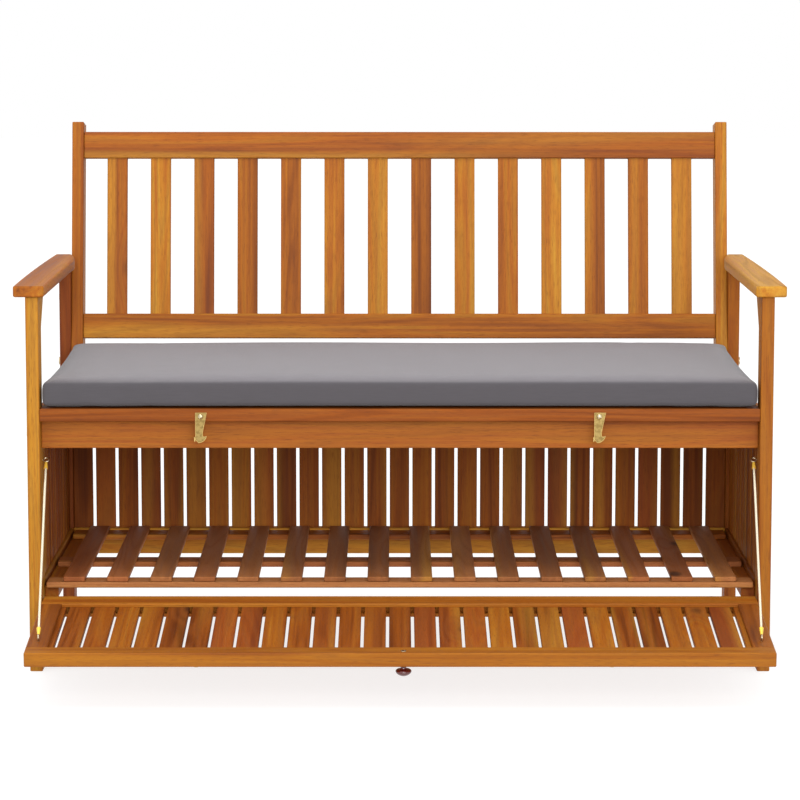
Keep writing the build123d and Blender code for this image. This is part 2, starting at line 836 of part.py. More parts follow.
def shape_ferrule(centre, along):
    """A tapered sleeve on the cord's end, its narrow end at the screw eye."""
    with BuildPart() as ferrule:
        with Locations(Plane(origin=centre + along * ferrule_start, z_dir=along)):
            Cone(
                ferrule_small,
                ferrule_big,
                ferrule_length,
                align=upright,
            )
    return ferrule.part


eye_parts = {"upper_screw_eyes": [], "lower_screw_eyes": []}
ferrule_parts = {"upper_ferrules": [], "lower_ferrules": []}
for name, side in (("left", -1), ("right", 1)):
    down = (lower_eyes[side] - upper_eyes[side]).normalized()
    eye_parts["upper_screw_eyes"].append(shape_eye(upper_eyes[side], Vector(side, 0, 0), down))
    eye_parts["lower_screw_eyes"].append(shape_eye(lower_eyes[side], flap_plane.z_dir, -down))
    ferrule_parts["upper_ferrules"].append(shape_ferrule(upper_eyes[side], down))
    ferrule_parts["lower_ferrules"].append(shape_ferrule(lower_eyes[side], -down))
    cord_length = (lower_eyes[side] - upper_eyes[side]).length - 2 * cord_start
    with BuildPart() as cord:
        with Locations(Plane(origin=upper_eyes[side] + down * cord_start, z_dir=down)):
            Cylinder(cord_radius, cord_length, align=upright)
    pieces[f"stay_cord_{name}"] = cord
for name, solids in (eye_parts | ferrule_parts).items():
    with BuildPart() as hardware:
        add(solids)
    pieces[name] = hardware

# ---- bolts through the legs ----
with BuildPart() as frame_bolts:
    for side in (-1, 1):
        for y, z in rail_bolts + stile_bolts:
            into = bolt_into_rail if (y, z) in rail_bolts else board - 2 * bottom_gap
            with Locations(Plane(origin=(side * half_legs, y, z), z_dir=(side, 0, 0))):
                Cylinder(bolt_head_radius, bolt_head_thick, align=upright)
                Cylinder(bolt_radius, board + into, align=(Align.CENTER, Align.CENTER, Align.MAX))
pieces["frame_bolts"] = frame_bolts

for label, piece in pieces.items():
    piece.part.label = label
    export_step(piece.part, f"parts/{label}.step")
print(len(pieces), "pieces; front of the legs at y =", round(front, 3), "; pivot", round(pivot_y, 3), pivot_z)
for side, eye in upper_eyes.items():
    print("cord", side, [round(v, 2) for v in eye], [round(v, 2) for v in lower_eyes[side]])
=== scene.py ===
"""Finishes for the slatted garden storage bench: oiled hardwood, grey cushion, brass hooks and cords."""
import json
import math

import bmesh
import bpy
import numpy as np
from mathutils import Matrix, Vector

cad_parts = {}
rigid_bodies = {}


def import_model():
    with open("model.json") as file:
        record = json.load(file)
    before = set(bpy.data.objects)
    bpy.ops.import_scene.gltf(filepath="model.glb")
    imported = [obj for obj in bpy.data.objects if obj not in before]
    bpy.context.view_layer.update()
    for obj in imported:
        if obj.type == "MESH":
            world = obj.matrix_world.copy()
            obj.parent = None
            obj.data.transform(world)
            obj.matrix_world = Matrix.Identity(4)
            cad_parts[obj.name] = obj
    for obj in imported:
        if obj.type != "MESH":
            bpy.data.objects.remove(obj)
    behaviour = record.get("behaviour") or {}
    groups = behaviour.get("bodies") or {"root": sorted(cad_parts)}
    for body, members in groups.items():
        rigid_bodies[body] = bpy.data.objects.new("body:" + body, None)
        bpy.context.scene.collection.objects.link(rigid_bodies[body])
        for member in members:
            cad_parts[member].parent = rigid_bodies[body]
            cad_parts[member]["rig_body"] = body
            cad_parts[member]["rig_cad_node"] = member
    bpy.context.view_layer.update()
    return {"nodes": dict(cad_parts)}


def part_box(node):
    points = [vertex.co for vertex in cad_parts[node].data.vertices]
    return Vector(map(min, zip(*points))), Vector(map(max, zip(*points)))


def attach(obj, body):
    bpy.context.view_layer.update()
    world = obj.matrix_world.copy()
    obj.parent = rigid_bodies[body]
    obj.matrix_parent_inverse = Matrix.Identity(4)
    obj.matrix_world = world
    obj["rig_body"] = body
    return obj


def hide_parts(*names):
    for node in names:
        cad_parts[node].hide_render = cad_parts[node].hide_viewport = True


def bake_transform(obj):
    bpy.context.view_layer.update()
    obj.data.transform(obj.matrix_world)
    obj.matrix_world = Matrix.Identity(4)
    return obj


bl_info = {
    "name": "Garden Storage Bench",
    "version": (1, 0, 0),
    "blender": (4, 5, 0),
    "location": "View3D > Sidebar > Bench",
    "description": "Wood, cushion, cords and fittings of a slatted bench with a storage box",
    "category": "Object",
}

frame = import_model()
NODES = frame["nodes"]
MM = 0.001
TURN = 2 * math.pi
RECLINE = math.radians(10.0)  # backrest from the vertical
FLAP_DROOP = math.radians(5.5)  # open flap below the horizontal

PAD_LOW, PAD_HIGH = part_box("cushion")
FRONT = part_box("front_leg_left")[0].y  # the front legs' front face

CORD_RADIUS = 1.75 * MM
CORD_END = 4 * MM  # height of a cord's end ring
CORD_RINGS = 40
CORD_SIDES = 12
STRAND_PITCH = 5.5 * MM
SEAM_POINTS = 360
SEAM_HEIGHT = 6 * MM  # above the cushion's underside
SIDE_PULL = 0.006  # share that the cushion's sides draw in, half-way between its corners
HOOK_PLAY = 0.6 * MM  # hook to the wood behind it
HOOK_THICK = 1.6 * MM
SCREW_RADIUS = 4.0 * MM
SHANK_RADIUS = 2.1 * MM


# ---- shader maths ----
class Value:
    """A number socket of one material, with Python's operators as Math nodes."""

    def __init__(self, shader, socket):
        self.shader, self.socket = shader, socket

    def _math(self, operation, *values):
        return self.shader.value("ShaderNodeMath", {"operation": operation}, *values)

    def __add__(self, other):
        return self._math("ADD", self, other)

    def __sub__(self, other):
        return self._math("SUBTRACT", self, other)

    def __rsub__(self, other):
        return self._math("SUBTRACT", other, self)

    def __mul__(self, other):
        return self._math("MULTIPLY", self, other)

    def __truediv__(self, other):
        return self._math("DIVIDE", self, other)

    def __lt__(self, other):
        return self._math("LESS_THAN", self, other)

    __radd__, __rmul__ = __add__, __mul__

    def floor(self):
        return self._math("FLOOR", self)

    def sine(self):
        return self._math("SINE", self)

    def power(self, exponent):
        return self._math("POWER", self, exponent)

    def most(self, other):
        return self._math("MAXIMUM", self, other)

    def between(self, low, high):
        """0 at low, 1 at high, smooth in between."""
        settings = {"interpolation_type": "SMOOTHSTEP"}
        return self.shader.value("ShaderNodeMapRange", settings, self, low, high, 0.0, 1.0)


class Shader:
    """One material's nodes, made through node()."""

    def __init__(self, name):
        self.material = bpy.data.materials.new(name)
        self.material.use_nodes = True
        self.tree = self.material.node_tree
        self.bsdf = self.tree.nodes["Principled BSDF"]

    def node(self, kind, settings, *inputs, **named):
        """Adds a node: its settings first, then the values or links of its sockets."""
        node = self.tree.nodes.new(kind)
        for key, setting in settings.items():
            if key == "stops":
                ramp = node.color_ramp
                while len(ramp.elements) < len(setting):
                    ramp.elements.new(0.5)
                for element, (place, colour) in zip(ramp.elements, setting):
                    element.position = place
                    element.color = (*colour, 1.0)
            else:
                setattr(node, key, setting)
        sockets = [s for s in node.inputs if s.enabled]
        for socket, given in list(zip(sockets, inputs)) + [
            (node.inputs[key], given) for key, given in named.items()
        ]:
            self.feed(socket, given)
        return node

    def feed(self, socket, given):
        if isinstance(given, Value):
            self.tree.links.new(given.socket, socket)
        elif isinstance(given, bpy.types.NodeSocket):
            self.tree.links.new(given, socket)
        elif given is not None:
            socket.default_value = given

    def value(self, kind, settings, *inputs, **named):
        node = self.node(kind, settings, *inputs, **named)
        return Value(self, next(s for s in node.outputs if s.enabled))

    def noise(self, place, scale, detail=2.0, roughness=0.5, distortion=0.0):
        return self.value(
            "ShaderNodeTexNoise",
            {},
            Vector=place,
            Scale=scale,
            Detail=detail,
            Roughness=roughness,
            Distortion=distortion,
        )

    def object_place(self):
        return self.node("ShaderNodeTexCoord", {}).outputs["Object"]

    def mapped(self, place, location=(0, 0, 0), rotation=(0, 0, 0), scale=(1, 1, 1)):
        return self.node(
            "ShaderNodeMapping", {}, Vector=place, Location=location, Rotation=rotation, Scale=scale
        ).outputs[0]

    def parts(self, place):
        """The three numbers of a vector."""
        split = self.node("ShaderNodeSeparateXYZ", {}, place)
        return [Value(self, socket) for socket in split.outputs]

    def vector(self, x, y, z):
        return self.node("ShaderNodeCombineXYZ", {}, x, y, z).outputs[0]

    def ramp(self, amount, stops):
        return self.node("ShaderNodeValToRGB", {"stops": stops}, amount).outputs[0]

    def mix(self, amount, a, b):
        """Colour a towards colour b."""
        node = self.tree.nodes.new("ShaderNodeMix")
        node.data_type = "RGBA"
        for socket, given in zip((node.inputs[0], node.inputs[6], node.inputs[7]), (amount, a, b)):
            if isinstance(given, tuple):
                given = (*given, 1.0)
            self.feed(socket, given)
        return node.outputs[2]

    def bump(self, height, strength, distance, under=None):
        named = {"Height": height, "Strength": strength, "Distance": distance}
        if under is not None:
            named["Normal"] = under
        return self.node("ShaderNodeBump", {}, **named).outputs[0]

    def finish(self, **sockets):
        for key, given in sockets.items():
            if isinstance(given, tuple):
                given = (*given, 1.0)
            self.feed(self.bsdf.inputs[key.replace("_", " ")], given)
        return self.material


# ---- wood ----
GRAIN_AXES = {
    # way the fibres run: the axis along them, then across the board, then through it
    "across": (0, 2, 1),
    "deep": (1, 0, 2),
    "upright": (2, 0, 1),
}


def wood(name, grain, tones, seed=0.0, tilt=0.0, boards=None, knots=0.16, spread=0.7):
    """Oiled hardwood. grain is the way its fibres run; boards is (axis, pitch, start) where one
    node holds many boards, so that each gets its own piece of the tree and its own tone."""
    shader = Shader(name)
    place = shader.object_place()
    if tilt:
        place = shader.mapped(place, rotation=(tilt, 0, 0))
    axes = shader.parts(place)
    along, side, deep = (axes[i] for i in GRAIN_AXES[grain])
    if boards:
        axis, pitch, start = boards
        number = ((axes["xyz".index(axis)] - start) / pitch).floor() + seed
    else:
        number = axes[0] * 0.0 + seed
    chance = shader.value("ShaderNodeTexWhiteNoise", {"noise_dimensions": "1D"}, W=number)
    tint = shader.node("ShaderNodeTexWhiteNoise", {"noise_dimensions": "1D"}, W=number + 31.7)
    second = Value(shader, tint.outputs["Value"])
    # each board is cut from its own place in the log
    along = along + chance * 7.0
    side = side + second * 3.0
    deep = deep + chance * 11.0

    def fibres(length, width, detail=2.0, roughness=0.5, distortion=0.0):
        stretched = shader.vector(along / length, side / width, deep / width)
        return shader.noise(stretched, 1.0, detail, roughness, distortion)

    # knots: a few dark eyes that the rings bend round
    cell = shader.node(
        "ShaderNodeTexVoronoi",
        {"feature": "F1", "voronoi_dimensions": "3D"},
        Vector=shader.vector(along / 0.24, side / 0.12, deep / 0.12),
        Scale=1.0,
        Randomness=1.0,
    )
    chosen = Value(shader, shader.node("ShaderNodeSeparateColor", {}, cell.outputs["Color"]).outputs[0])
    near = Value(shader, cell.outputs["Distance"])
    knot_here = chosen < knots
    halo = (1 - near.between(0.02, 0.42)) * knot_here
    eye = (1 - near.between(0.04, 0.13)) * knot_here

    broad = fibres(0.75, 0.055, 1.0)
    rings = ((broad * 9.0 + halo * 1.6 + fibres(0.22, 0.012, 1.0) * 0.35) * TURN).sine()
    rings = rings * 0.5 + 0.5
    streak = fibres(0.40, 0.006, 3.0, 0.6)
    pores = fibres(0.018, 0.0007, 1.0)
    wide = fibres(1.1, 0.03, 2.0)

    amount = 0.5 + (second - 0.5) * spread + (wide - 0.5) * 1.1
    amount = amount + (rings - 0.5) * 0.22 + (streak - 0.5) * 0.8
    colour = shader.ramp(amount, [(i / (len(tones) - 1), tone) for i, tone in enumerate(tones)])
    # some boards lean to red, and paler sapwood runs along parts of others
    colour = shader.mix(chance.between(0.62, 1.0) * 0.38, colour, (0.34, 0.072, 0.018))
    sapwood = fibres(1.6, 0.045, 1.0).between(0.54, 0.70)
    colour = shader.mix(sapwood * 0.42, colour, (0.52, 0.25, 0.028))
    colour = shader.mix(rings.power(3.0) * 0.34, colour, (0.16, 0.045, 0.012))
    colour = shader.mix((1 - pores.between(0.30, 0.44)) * 0.45, colour, (0.11, 0.030, 0.010))
    colour = shader.mix(halo * 0.45, colour, (0.20, 0.060, 0.014))
    colour = shader.mix(eye * 0.85, colour, (0.035, 0.012, 0.006))
    grit = shader.bump((1 - pores.between(0.28, 0.46)) * -0.6 + streak * 0.4, 0.25, 0.0006)
    relief = shader.bump(rings + streak, 0.12, 0.0005, under=grit)
    return shader.finish(
        Base_Color=colour,
        Roughness=0.50 + (streak - 0.5) * 0.25 + rings * 0.06,
        Normal=relief,
        Specular_IOR_Level=0.12,
    )


# tones of the oiled boards, dark to light
TONES = [
    (0.117, 0.029, 0.005),
    (0.212, 0.056, 0.006),
    (0.329, 0.096, 0.008),
    (0.413, 0.157, 0.013),
    (0.498, 0.246, 0.027),
]
RED_TONES = [
    (0.095, 0.020, 0.003),
    (0.165, 0.038, 0.004),
    (0.255, 0.064, 0.006),
    (0.330, 0.100, 0.008),
    (0.400, 0.150, 0.014),
]
UMBER_TONES = [
    (0.170, 0.060, 0.020),
    (0.225, 0.081, 0.026),
    (0.285, 0.106, 0.034),
    (0.345, 0.133, 0.042),
    (0.400, 0.165, 0.056),
]
HONEY_TONES = [
    (0.215, 0.058, 0.006),
    (0.300, 0.098, 0.008),
    (0.385, 0.142, 0.010),
    (0.455, 0.185, 0.016),
    (0.520, 0.240, 0.030),
]
GOLD_TONES = [
    (0.250, 0.075, 0.006),
    (0.340, 0.130, 0.009),
    (0.430, 0.200, 0.014),
    (0.500, 0.260, 0.025),
    (0.580, 0.340, 0.050),
]


def paint_wood():
    """Every wooden node gets its cut, tone and place in the log."""
    back_tilt = RECLINE
    flap_tilt = -FLAP_DROOP
    plain = {
        "across": {
            "back_top_rail": (TONES, 3.0, back_tilt),
            "back_lower_rail": (TONES, 8.0, back_tilt),
            "seat_front_rail": (RED_TONES, 12.0, 0.0),
            "front_apron": (HONEY_TONES, 16.2, 0.0),
            "front_bottom_rail": (RED_TONES, 21.0, 0.0),
            "rear_top_rail": (RED_TONES, 25.0, 0.0),
            "rear_bottom_rail": (TONES, 29.0, 0.0),
            "shelf_front_rail": (UMBER_TONES, 33.0, 0.0),
            "shelf_middle_rail": (UMBER_TONES, 37.0, 0.0),
            "shelf_rear_rail": (TONES, 41.0, 0.0),
            "flap_bottom_rail": (RED_TONES, 45.0, flap_tilt),
            "flap_top_rail": (HONEY_TONES, 49.0, flap_tilt),
        },
        "deep": {
            "armrest_left": (TONES, 53.0, 0.0),
            "armrest_right": (TONES, 57.0, 0.0),
            "side_top_rail_left": (TONES, 61.0, 0.0),
            "side_top_rail_right": (TONES, 65.0, 0.0),
            "side_bottom_rail_left": (RED_TONES, 69.0, 0.0),
            "side_bottom_rail_right": (TONES, 73.0, 0.0),
            "seat_bearer_left": (TONES, 77.0, 0.0),
            "seat_bearer_middle": (TONES, 81.0, 0.0),
            "seat_bearer_right": (TONES, 85.0, 0.0),
            "shelf_ledger_left": (RED_TONES, 89.0, 0.0),
            "shelf_ledger_right": (RED_TONES, 93.0, 0.0),
            "flap_stile_left": (TONES, 97.0, flap_tilt),
            "flap_stile_right": (TONES, 101.0, flap_tilt),
        },
        "upright": {
            "front_leg_left": (GOLD_TONES, 105.0, 0.0),
            "front_leg_right": (HONEY_TONES, 109.0, 0.0),
            "rear_leg_left": (RED_TONES, 113.0, 0.0),
            "rear_leg_right": (RED_TONES, 117.0, 0.0),
            "back_stile_left": (RED_TONES, 121.0, back_tilt),
            "back_stile_right": (TONES, 125.0, back_tilt),
            "arm_dowels": (RED_TONES, 129.0, 0.0),
        },
    }
    for grain, nodes in plain.items():
        for name, (tones, seed, tilt) in nodes.items():
            dress(NODES[name], wood(f"{name}_wood", grain, tones, seed, tilt))
    many = {
        # cut, tones, seed, tilt, the axis that the boards follow, their pitch, and the first board's
        # start before the node's own
        "back_slats": ("upright", TONES, 133.0, back_tilt, "x", 74.0, 19.75),
        "rear_slats": ("upright", RED_TONES, 171.0, 0.0, "x", 38.946, 2.7),
        "side_slats_left": ("upright", RED_TONES, 211.0, 0.0, "y", 38.9, 2.7),
        "side_slats_right": ("upright", TONES, 231.0, 0.0, "y", 38.9, 2.7),
        "shelf_slats": ("deep", UMBER_TONES, 251.0, 0.0, "x", 68.6, 17.3),
        "flap_slats": ("deep", RED_TONES, 271.0, flap_tilt, "x", 38.45, None),
        "seat_slats": ("across", TONES, 301.0, 0.0, "y", 57.7, 6.0),
    }
    for name, (grain, tones, seed, tilt, axis, pitch, before) in many.items():
        if before is None:  # a board lies on the middle line
            start = -pitch / 2 * MM
        else:
            start = getattr(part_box(name)[0], axis) - before * MM
        boards = (axis, pitch * MM, start)
        dress(NODES[name], wood(f"{name}_wood", grain, tones, seed, tilt, boards, spread=0.5))


def metal(name, colour, roughness, patina, wear=0.5, metallic=1.0):
    """Plated metal: fine scratches, darker patina in patches."""
    shader = Shader(name)
    place = shader.object_place()
    patches = shader.noise(place, 160.0, 3.0, 0.6).between(0.38, 0.66)
    scratches = shader.noise(shader.mapped(place, scale=(900, 900, 120)), 1.0, 2.0)
    return shader.finish(
        Base_Color=shader.mix(patches * wear, colour, patina),
        Metallic=metallic,
        Roughness=roughness + patches * 0.14 + (scratches - 0.5) * 0.12,
        Normal=shader.bump(scratches, 0.12, 0.0002),
    )


def dress(obj, material):
    """Gives an object one material all over."""
    obj.data.materials.clear()
    obj.data.materials.append(material)


def add_piece(obj, name, body, replaces=()):
    """Names a finished piece, and ties it to its body."""
    obj.name = obj.data.name = name
    if body:
        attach(obj, body)
    if replaces:
        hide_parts(*replaces)
    return obj


def deselect():
    bpy.ops.object.select_all(action="DESELECT")


def apply_modifier(obj, kind, **settings):
    """Adds a modifier and applies it."""
    deselect()
    obj.select_set(True)
    bpy.context.view_layer.objects.active = obj
    modifier = obj.modifiers.new(kind.title(), kind)
    for key, setting in settings.items():
        setattr(modifier, key, setting)
    bpy.ops.object.modifier_apply(modifier=modifier.name)


def settle(obj):
    """Puts an object's place into its mesh."""
    deselect()
    obj.select_set(True)
    bpy.context.view_layer.objects.active = obj
    bpy.ops.object.transform_apply(location=True, rotation=True, scale=True)


# ---- settings ----
class BenchCushion(bpy.types.PropertyGroup):
    fabric: bpy.props.FloatVectorProperty(
        name="Fabric", description="Colour of the cushion's cover", subtype="COLOR",
        default=(0.133, 0.120, 0.135), min=0, max=1,
    )
    voxel: bpy.props.FloatProperty(
        name="Voxel", description="Mesh size that the cushion is simulated at", default=0.006,
        min=0.004, max=0.02, subtype="DISTANCE", unit="LENGTH",
    )
    swell: bpy.props.FloatProperty(
        name="Swell", description="Furthest that the cover may rise from its first shape",
        default=0.005, min=0.0, max=0.03, subtype="DISTANCE", unit="LENGTH",
    )


class BenchFittings(bpy.types.PropertyGroup):
    brass: bpy.props.FloatVectorProperty(
        name="Brass", description="Colour of the hooks", subtype="COLOR",
        default=(0.33, 0.235, 0.085), min=0, max=1,
    )
    lacquer: bpy.props.FloatVectorProperty(
        name="Lacquer", description="Colour of the knob", subtype="COLOR",
        default=(0.050, 0.0015, 0.0015), min=0, max=1,
    )
    cord: bpy.props.FloatVectorProperty(
        name="Cord", description="Colour of the stay cords", subtype="COLOR",
        default=(0.78, 0.72, 0.56), min=0, max=1,
    )


class BenchStage(bpy.types.PropertyGroup):
    floor: bpy.props.FloatVectorProperty(
        name="Floor", description="Colour of the floor", subtype="COLOR",
        default=(0.25, 0.25, 0.25), min=0, max=1,
    )
    key: bpy.props.FloatProperty(
        name="Key light", description="Power of the light above the bench",
        default=38.0, min=0.0, unit="POWER",
    )


# ---- stage ----
class BENCH_OT_stage(bpy.types.Operator):
    """Add the floor, the studio lights and the camera"""

    bl_idname = "bench.stage"
    bl_label = "Stage"

    def execute(self, context):
        settings = context.scene.bench_stage
        deselect()
        bpy.ops.object.camera_add(
            location=(-0.0081, -5.3359, 1.1223),
            rotation=(math.radians(82.367), -0.0003, -0.00154),
        )
        camera = context.object
        camera.name = "bench_camera"
        camera.data.lens = 150.3
        camera.data.sensor_width = 36.0
        camera.data.clip_end = 60.0
        context.scene.camera = camera

        bpy.ops.mesh.primitive_plane_add(size=1.0, location=(0, 0, 0))
        floor = context.object
        floor.name = "studio_floor"
        bpy.ops.transform.resize(value=(30.0, 30.0, 1.0))
        settle(floor)
        shader = Shader("floor_paper")
        grain = shader.noise(shader.object_place(), 260.0, 2.0)
        dress(floor, shader.finish(
            Base_Color=tuple(settings.floor),
            Roughness=0.9,
            Normal=shader.bump(grain, 0.05, 0.0005),
            Emission_Color=(1.0, 1.0, 1.0),
            Emission_Strength=0.80,
        ))

        context.scene.view_settings.view_transform = "Standard"
        world = bpy.data.worlds.new("studio_air")
        context.scene.world = world
        world.use_nodes = True
        world.node_tree.nodes["Background"].inputs["Color"].default_value = (1, 1, 1, 1)
        world.node_tree.nodes["Background"].inputs["Strength"].default_value = 1.0

        lights = {
            # name: power, size, place, aimed at
            "key_light": (settings.key, (2.6, 1.6), (-0.5, -1.1, 3.1), (0, 0.05, 0.4)),
            "front_light": (120.0, (3.0, 1.8), (0.6, -4.4, 1.7), (0, 0, 0.35)),
        }
        for name, (power, size, place, aim) in lights.items():
            bpy.ops.object.light_add(type="AREA", location=place)
            light = context.object
            light.name = name
            light.data.energy = power
            light.data.shape = "RECTANGLE"
            light.data.size, light.data.size_y = size
            light.rotation_euler = (Vector(aim) - Vector(place)).to_track_quat("-Z", "Y").to_euler()
        return {"FINISHED"}


class BENCH_OT_wood(bpy.types.Operator):
    """Give every wooden part its grain, tone and knots"""

    bl_idname = "bench.wood"
    bl_label = "Wood"

    def execute(self, context):
        paint_wood()
        return {"FINISHED"}


class BENCH_OT_fittings(bpy.types.Operator):
    """Finish the metal fittings and the knob"""

    bl_idname = "bench.fittings"
    bl_label = "Fittings"

    def execute(self, context):
        settings = context.scene.bench_fittings
        zinc = metal("yellow_zinc", (0.62, 0.52, 0.36), 0.28, (0.36, 0.26, 0.14), 0.5)
        yellow = metal("ferrule_brass", (0.95, 0.62, 0.08), 0.34, (0.72, 0.42, 0.04), 0.3, 0.35)
        for name in ("strikes", "seat_screws", "knob_screw", "hinge_pins", "frame_bolts",
                     "upper_screw_eyes", "lower_screw_eyes"):
            dress(NODES[name], zinc)
        for name in ("upper_ferrules", "lower_ferrules"):
            dress(NODES[name], yellow)
        shader = Shader("knob_lacquer")
        rings = shader.noise(shader.object_place(), 220.0, 2.0)
        dress(NODES["knob"], shader.finish(
            Base_Color=shader.mix(rings, tuple(settings.lacquer), (0.095, 0.003, 0.002)),
            Roughness=0.16 + rings * 0.08,
            Coat_Weight=0.8,
        ))
        return {"FINISHED"}


def take_copy(node, name):
    """A clean copy of a CAD node: loose triangles merged, flat ones joined into whole faces."""
    deselect()
    copy = NODES[node].copy()
    copy.data = NODES[node].data.copy()
    copy.parent = None
    copy.name = copy.data.name = name
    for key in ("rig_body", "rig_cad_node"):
        if key in copy:
            del copy[key]
    bpy.context.collection.objects.link(copy)
    copy.select_set(True)
    bpy.context.view_layer.objects.active = copy
    bpy.ops.object.mode_set(mode="EDIT")
    bpy.ops.mesh.select_all(action="SELECT")
    bpy.ops.mesh.remove_doubles(threshold=0.00001)
    bpy.ops.mesh.dissolve_limited(angle_limit=math.radians(2.0))
    bpy.ops.object.mode_set(mode="OBJECT")
    return copy


def pick_faces(obj, test):
    """Selects the faces that pass a test on their centre and normal, and goes into edit mode."""
    bpy.ops.object.mode_set(mode="EDIT")
    bpy.ops.mesh.select_all(action="DESELECT")
    bpy.ops.mesh.select_mode(type="FACE")
    bpy.ops.object.mode_set(mode="OBJECT")
    for face in obj.data.polygons:
        face.select = test(face.center, face.normal)
    bpy.ops.object.mode_set(mode="EDIT")


def make_screw(name, radius, height, sides=32):
    """A round-headed screw's head, standing on the origin along -Y, with its slot."""
    deselect()
    bpy.ops.mesh.primitive_uv_sphere_add(segments=sides, ring_count=16, radius=radius)
    head = bpy.context.object
    head.name = head.data.name = name
    head.scale.z = height / radius
    head.rotation_euler.x = math.pi / 2
    settle(head)
    # half of it, closed at the wood
    bpy.ops.object.mode_set(mode="EDIT")
    bpy.ops.mesh.select_all(action="SELECT")
    bpy.ops.mesh.bisect(plane_co=(0, 0, 0), plane_no=(0, 1, 0), use_fill=True, clear_outer=True)
    bpy.ops.object.mode_set(mode="OBJECT")
    deselect()
    bpy.ops.mesh.primitive_cube_add(size=1.0, location=(0, -height, 0))
    cutter = bpy.context.object
    cutter.scale = (radius * 0.24, height * 1.1, radius * 2.4)
    cutter.rotation_euler.y = math.radians(24)
    settle(cutter)
    apply_modifier(head, "BOOLEAN", operation="DIFFERENCE", object=cutter, solver="EXACT")
    bpy.data.objects.remove(cutter)
    apply_modifier(head, "BEVEL", width=radius * 0.03, segments=1, limit_method="ANGLE", angle_limit=0.9)
    deselect()
    head.select_set(True)
    bpy.context.view_layer.objects.active = head
    bpy.ops.object.shade_smooth_by_angle(angle=math.radians(35))
    return head


def add_shank(head, radius, length):
    """Joins a pointed shank to a screw's head, into the wood along +Y."""
    deselect()
    bpy.ops.mesh.primitive_cylinder_add(
        vertices=24,
        radius=radius,
        depth=length,
        location=(0, length / 2 - 0.5 * MM, 0),
        rotation=(math.pi / 2, 0, 0),
    )
    shank = bpy.context.object
    settle(shank)
    pick_faces(shank, lambda at, normal: normal.y > 0.9)
    bpy.ops.mesh.extrude_region_move(TRANSFORM_OT_translate={"value": (0, radius * 1.5, 0)})
    bpy.ops.mesh.merge(type="CENTER")
    bpy.ops.object.mode_set(mode="OBJECT")
    deselect()
    shank.select_set(True)
    head.select_set(True)
    bpy.context.view_layer.objects.active = head
    bpy.ops.object.join()
    return bpy.context.object


def place_copies(model, name, matrices):
    """Joins one copy of a modelled piece for each place it goes to, each with its own mesh."""
    copies = []
    for matrix in matrices:
        copy = model.copy()
        copy.data = model.data.copy()
        copy.data.transform(matrix)
        bpy.context.collection.objects.link(copy)
        copies.append(copy)
    deselect()
    for copy in copies:
        copy.select_set(True)
    bpy.context.view_layer.objects.active = copies[0]
    bpy.ops.object.join()
    joined = bpy.context.object
    joined.name = joined.data.name = name
    return joined


class BENCH_OT_hooks(bpy.types.Operator):
    """Stamp a raised rim into each hook, and give the screws their slotted heads"""

    bl_idname = "bench.hooks"
    bl_label = "Hooks and screws"

    def execute(self, context):
        settings = context.scene.bench_fittings
        brass = metal("hook_brass", tuple(settings.brass), 0.40, (0.17, 0.11, 0.035), 0.6)
        # painted highlight: the raised rim's brass is 1.8 times brighter than the plate's, where light
        # catches it
        rim = metal("hook_rim", tuple(c * 1.8 for c in settings.brass), 0.30, tuple(settings.brass), 0.4)
        zinc = metal("screw_zinc", (0.66, 0.56, 0.36), 0.26, (0.36, 0.26, 0.14), 0.4)
        face = FRONT - HOOK_PLAY - HOOK_THICK
        for side in ("left", "right"):
            name = f"hook_{side}"
            plate = take_copy(name, f"hook_plate_{side}")
            pick_faces(plate, lambda at, normal: normal.y < -0.9 and abs(at.y - face) < 0.1 * MM)
            for width, depth in ((0.6 * MM, 0.0), (0.2 * MM, -0.35 * MM)):
                bpy.ops.mesh.inset(
                    thickness=width, depth=depth, use_boundary=True, use_even_offset=False
                )
            bpy.ops.object.mode_set(mode="OBJECT")
            dress(plate, rim)
            # the sunk field is the second material
            plate.data.materials.append(brass)
            for polygon in plate.data.polygons:
                if polygon.normal.y < -0.9 and polygon.center.y > face + 0.2 * MM:
                    polygon.material_index = 1
            for polygon in plate.data.polygons:
                polygon.use_smooth = False
            add_piece(plate, f"hook_plate_{side}", name, (name,))

        head = make_screw("round_head", SCREW_RADIUS, 2.4 * MM)
        low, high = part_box("hook_screws")
        head = add_shank(head, SHANK_RADIUS, high.y - face - 2 * SHANK_RADIUS)
        height = low.z + (high.z - low.z) / 2
        places = [
            Matrix.Translation((x, face - 0.2 * MM, height))
            for x in (low.x + SCREW_RADIUS, high.x - SCREW_RADIUS)
        ]
        heads = place_copies(head, "hook_screw_heads", places)
        dress(heads, zinc)
        add_piece(heads, "hook_screw_heads", "frame", ("hook_screws",))
        bpy.data.objects.remove(head)
        return {"FINISHED"}


